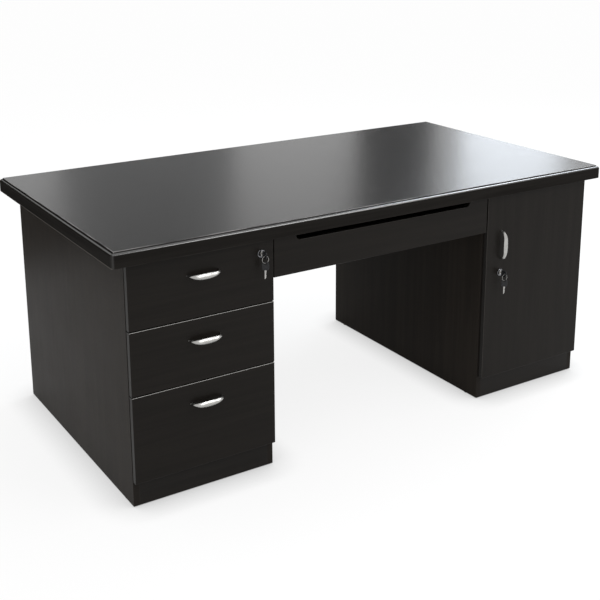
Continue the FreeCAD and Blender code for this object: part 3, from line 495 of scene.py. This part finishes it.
# Locks: chromed cam-lock housings pushed through the top drawer's front and the door. A nickel-plated
# plug with the cam on its end turns in each.
CHROME = (0.20, 0.20, 0.21, 1.0)
CHROME_SHADE = (0.14, 0.14, 0.15, 1.0)
KEY_STEEL = (0.46, 0.45, 0.43, 1.0)
KEY_STEEL_SHADE = (0.36, 0.35, 0.34, 1.0)
CHROME_GLOSS, KEY_GLOSS = 0.12, 0.20
chrome = plated_steel("lock_chrome_plate", Y, CHROME, CHROME_SHADE, CHROME_GLOSS)
key_steel = plated_steel("key_nickel", Z, KEY_STEEL, KEY_STEEL_SHADE, KEY_GLOSS)
# Each lock, and the body that its ring and spare key move as.
LOCKS = {"drawer_lock": "drawer_keys", "door_lock": "door_keys"}
for lock in LOCKS:
    dress(f"{lock}_housing", chrome)
    dress(f"{lock}_plug", key_steel)

# Keys: steel blades cut along one edge, with heads of black plastic moulded on. One is in each lock. A
# spare like it hangs by the eye of its head on a split ring, two turns of spring wire.
KEY_SCUFFING = 0.35
key_plastic = moulded_plastic("key_head_plastic", KEY_SCUFFING)
HEAD_HALF_WIDTH, HEAD_HALF_LENGTH, HEAD_SHEET = 0.0105, 0.0122, 0.0030
HEAD_SQUARENESS, HEAD_CORNERS = 4.0, 40
RIM_ANGLE, RIM_ROUND, RIM_STEPS = 1.0, 0.0006, 2
BLADE_WIDTH, BLADE_SHEET = 0.0054, 0.0022
BITTING = (0.0, 0.0, 0.0, 0.0013, 0.0005, 0.0018, 0.0010, 0.0004, 0.0015, 0.0007, 0.0016, 0.0027, 0.0044)


def key_head(spot, eye_inset, eye_half_width, eye_half_height):
    """A moulded head: a rounded square with an eye near its end, its rims softened."""
    mesh = bmesh.new()
    rim = bmesh.ops.create_circle(mesh, segments=HEAD_CORNERS, radius=1.0)["verts"]
    power = 2 / HEAD_SQUARENESS
    for vertex in rim:
        across, along, _ = vertex.co
        vertex.co.x = math.copysign(abs(across)**power, across) * HEAD_HALF_WIDTH
        vertex.co.y = math.copysign(abs(along)**power, along) * HEAD_HALF_LENGTH
    eye = bmesh.ops.create_circle(mesh, segments=HEAD_CORNERS, radius=1.0)["verts"]
    bmesh.ops.scale(mesh, vec=(eye_half_width, eye_half_height, 1), verts=eye)
    bmesh.ops.translate(mesh, vec=(0, HEAD_HALF_LENGTH - eye_inset, 0), verts=eye)
    thicken(mesh, bmesh.ops.bridge_loops(mesh, edges=mesh.edges)["faces"], HEAD_SHEET)
    bmesh.ops.recalc_face_normals(mesh, faces=mesh.faces)
    rims = [edge for edge in mesh.edges if edge.is_manifold and edge.calc_face_angle() > RIM_ANGLE]
    bmesh.ops.bevel(mesh, geom=rims, offset=RIM_ROUND, segments=RIM_STEPS, profile=0.5, material=-1,
                    affect="EDGES")
    bmesh.ops.translate(mesh, vec=(0, 0, -HEAD_SHEET / 2), verts=mesh.verts)
    bmesh.ops.transform(mesh, matrix=spot, verts=mesh.verts)
    return mesh


def key_blade(spot, length):
    """A flat blade from the head to its tip, with cuts along one edge."""
    mesh = bmesh.new()
    bmesh.ops.create_grid(mesh, x_segments=1, y_segments=len(BITTING) - 1, size=0.5)
    bmesh.ops.scale(mesh, vec=(BLADE_WIDTH, length, 1), verts=mesh.verts)
    cut_side = [vertex for vertex in mesh.verts if vertex.co.x > 0]
    cut_side.sort(key=lambda vertex: -vertex.co.y)
    for vertex, cut in zip(cut_side, BITTING):
        vertex.co.x -= cut
    bmesh.ops.translate(mesh, vec=(0, -HEAD_HALF_LENGTH - length / 2, 0), verts=mesh.verts)
    thicken(mesh, mesh.faces[:], BLADE_SHEET)
    bmesh.ops.translate(mesh, vec=(0, 0, -BLADE_SHEET / 2), verts=mesh.verts)
    bmesh.ops.transform(mesh, matrix=spot, verts=mesh.verts)
    return mesh


def add_key(key, node, body, spot, length, eye):
    """A key's head and blade; spot is the middle of its head, with the blade along its minus Y."""
    head = new_piece(f"{key}_head", key_head(spot, *eye), key_plastic, body)
    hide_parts(node)
    blade = key_blade(spot, length - 2 * HEAD_HALF_LENGTH)
    new_piece(f"{key}_blade", blade, key_steel, body)


# An eye's inset from the end of the head, half width and half height.
KEY_EYE, SPARE_EYE = (0.0075, 0.0028, 0.0028), (0.0045, 0.0045, 0.0025)
POINTING_IN = Matrix(((0, 0, 1), (0, -1, 0), (1, 0, 0))).to_4x4()
POINTING_DOWN = Matrix(((1, 0, 0), (0, 0, -1), (0, 1, 0))).to_4x4()
SPARE_TURN = Matrix.Rotation(math.radians(-35), 4, "Z")
RING_WIRE, RING_INSET, RING_TURNS, RING_STEPS, WIRE_CORNERS = 0.0005, 0.0008, 2, 96, 10
for lock, hung_body in LOCKS.items():
    low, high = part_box(f"{lock}_key")
    middle = (low + high) / 2
    head_middle = Matrix.Translation((middle.x, low.y + HEAD_HALF_LENGTH, middle.z))
    add_key(f"{lock}_key", f"{lock}_key", lock, head_middle @ POINTING_IN, high.y - low.y, KEY_EYE)

    low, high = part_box(f"{lock}_spare_key")
    middle = (low + high) / 2
    head_middle = Matrix.Translation((middle.x, middle.y, high.z - HEAD_HALF_LENGTH))
    spare_spot = head_middle @ SPARE_TURN @ POINTING_DOWN
    add_key(f"{lock}_spare", f"{lock}_spare_key", hung_body, spare_spot, high.z - low.z, SPARE_EYE)

    low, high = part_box(f"{lock}_key_ring")
    middle = (low + high) / 2
    coil = bmesh.new()
    wire_start = Matrix.Translation((high.x - RING_INSET, middle.y - RING_WIRE, middle.z))
    bmesh.ops.create_circle(coil, cap_ends=True, segments=WIRE_CORNERS, radius=RING_WIRE,
                            matrix=wire_start)
    bmesh.ops.spin(coil, geom=coil.faces[:], cent=middle, axis=(0, 1, 0), angle=math.tau * RING_TURNS,
                   dvec=(0, 2 * RING_WIRE / RING_STEPS, 0), steps=RING_STEPS)
    ring = new_piece(f"{lock}_split_ring", coil, key_steel, hung_body)
    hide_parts(f"{lock}_key_ring")

# Floor: a wide sheet of white paper that the desk stands on. It is matt, runs on behind the desk as the
# backdrop, and takes the desk's shadow, which is deepest where the two nearly touch.
FLOOR_HALF = 30.0
FLOOR_WHITE = (0.95, 0.95, 0.95, 1.0)
PURE_WHITE = (1.0, 1.0, 1.0, 1.0)
FLOOR_LIFT = 0.84
CONTACT_REACH, CONTACT_SAMPLES = 0.11, 8
CONTACT_GREY = (0.42, 0.42, 0.42, 1.0)


def rays_seen(tree):
    """1 for rays from the camera and from shiny or clear surfaces, 0 for the rest."""
    path = Wire(tree).node("ShaderNodeLightPath").socket.node.outputs
    camera_ray, glossy_ray, clear_ray = (Wire(tree, path[f"Is {kind} Ray"])
                                         for kind in ("Camera", "Glossy", "Transmission"))
    return camera_ray.most(glossy_ray).most(clear_ray)


paper = Finish("floor_paper", Base_Color=FLOOR_WHITE, Roughness=0.9, Specular_IOR_Level=0.0)
openness = paper.place.node("ShaderNodeAmbientOcclusion", {"samples": CONTACT_SAMPLES},
                            {"Distance": CONTACT_REACH}, "AO")
glow = openness.node("ShaderNodeEmission", None, {"Color": openness.blend(CONTACT_GREY, PURE_WHITE)})
lit = Wire(paper.tree, paper.shader.outputs["BSDF"])
mixed = lit.node("ShaderNodeMixShader", None, {0: FLOOR_LIFT * rays_seen(paper.tree), 1: lit, 2: glow})
paper.tree.links.new(mixed.socket, paper.tree.nodes["Material Output"].inputs["Surface"])
sweep = bmesh.new()
bmesh.ops.create_grid(sweep, x_segments=1, y_segments=1, size=FLOOR_HALF)
floor = new_object("floor", sweep, paper)

# Studio light: a white room, softboxes overhead, at the back right and at the front right, and behind
# the desk a window panel and grey cards, which the top and the left side mirror. Those of the top stand
# where rays from the camera go on to after it, so their places are bearings from the camera, in degrees.
ROOM_LIGHT = 0.95
world = bpy.data.worlds.new("studio")
bpy.context.scene.world = world
world.use_nodes = True
seen = rays_seen(world.node_tree)
backdrop = world.node_tree.nodes["Background"]
backdrop.inputs["Color"].default_value = PURE_WHITE
world.node_tree.links.new(seen.most(ROOM_LIGHT).socket, backdrop.inputs["Strength"])
CAMERA_SPOT = Vector((-1.8675, -2.9367, 1.6142))
MIRRORED_DISTANCE = 8.0
MIRRORED_LOW, MIRRORED_HIGH = 1.1, 4.3
WINDOW_BEARINGS, WINDOW_WATTS = (40.9, 46.3), 19.5
LEFT_CARD_BEARINGS, RIGHT_CARD_BEARINGS = (19.0, 28.4), (35.2, 39.4)


def mirrored_panel(first_bearing, last_bearing):
    """The middle, facing and size of an upright panel that stands between two bearings."""
    bearing = math.radians(first_bearing + last_bearing) / 2
    ahead = Vector((math.sin(bearing), math.cos(bearing), 0.0))
    middle = CAMERA_SPOT + ahead * MIRRORED_DISTANCE
    middle.z = (MIRRORED_LOW + MIRRORED_HIGH) / 2
    width = MIRRORED_DISTANCE * math.radians(last_bearing - first_bearing)
    return middle, -ahead, (width, MIRRORED_HIGH - MIRRORED_LOW)


def add_softbox(name, spot, facing, extent, watts, tint):
    lamp = bpy.data.lights.new(name, "AREA")
    lamp.shape = "RECTANGLE"
    lamp.size, lamp.size_y = extent
    lamp.energy = watts
    lamp.color = tint
    softbox = bpy.data.objects.new(name, lamp)
    softbox.location = spot
    softbox.rotation_euler = facing.to_track_quat("-Z", "Y").to_euler()
    softbox.visible_camera = False
    bpy.context.scene.collection.objects.link(softbox)


# A softbox has its place, the point it is aimed at, its width and height, its watts and its tint.
DAYLIGHT, COOL_WHITE, WARM_WHITE = (0.85, 0.92, 1.0), (0.97, 0.98, 1.0), (1.0, 0.99, 0.97)
SOFTBOXES = {
    "overhead": ((2.0, -0.9, 3.4), (1.2, -0.3, 0.4), (4.4, 0.4), 46.0, COOL_WHITE),
    "skylight": ((3.3, 1.1, 3.4), (1.2, -0.5, 0.76), (2.6, 1.0), 80.0, DAYLIGHT),
    "front_key": ((1.5, -2.9, 3.0), (-0.3, -0.4, 0.5), (1.8, 1.0), 22.0, WARM_WHITE),
}
for name, (spot, aim, extent, watts, tint) in SOFTBOXES.items():
    add_softbox(name, spot, Vector(aim) - Vector(spot), extent, watts, tint)
add_softbox("window", *mirrored_panel(*WINDOW_BEARINGS), WINDOW_WATTS, DAYLIGHT)

# A card has its middle, the way it faces, its width and height, and its grey.
CARDS = {
    "left_card": (*mirrored_panel(*LEFT_CARD_BEARINGS), 0.28),
    "right_card": (*mirrored_panel(*RIGHT_CARD_BEARINGS), 0.02),
    "side_card": (Vector((-2.1, 1.8, 0.7)), Vector((0.0, -1.0, 0.0)), (2.2, 1.4), 0.05),
}
for name, (spot, facing, extent, grey) in CARDS.items():
    felt = Finish(f"{name}_felt", Base_Color=(grey, grey, grey, 1.0), Roughness=1.0,
                  Specular_IOR_Level=0.0)
    sheet = bmesh.new()
    bmesh.ops.create_grid(sheet, x_segments=1, y_segments=1, size=0.5)
    bmesh.ops.scale(sheet, vec=(*extent, 1.0), verts=sheet.verts)
    bmesh.ops.transform(sheet, matrix=Matrix.Translation(spot) @ turned_to(facing), verts=sheet.verts)
    card = new_object(name, sheet, felt)
    card.visible_camera = False
    card.visible_diffuse = False
    card.visible_shadow = False

# Camera: at the front left, at standing eye height. It is pitched down and its lens is shifted down as
# well, which keeps the uprights nearer to parallel.
CAMERA_YAW, CAMERA_PITCH = 0.5768, 0.2473
SENSOR, FOCAL_PIXELS, IMAGE_SIDE = 36.0, 1060.6, 600
LENS_CENTRE = (318.3, 180.0)
lens = bpy.data.cameras.new("camera")
lens.sensor_width = SENSOR
lens.lens = FOCAL_PIXELS * SENSOR / IMAGE_SIDE
lens.shift_x = 0.5 - LENS_CENTRE[0] / IMAGE_SIDE
lens.shift_y = LENS_CENTRE[1] / IMAGE_SIDE - 0.5
camera = bpy.data.objects.new("camera", lens)
camera.location = CAMERA_SPOT
camera.rotation_euler = (math.pi / 2 - CAMERA_PITCH, 0.0, -CAMERA_YAW)
bpy.context.scene.collection.objects.link(camera)
bpy.context.scene.camera = camera
bpy.context.scene.view_settings.view_transform = "Standard"
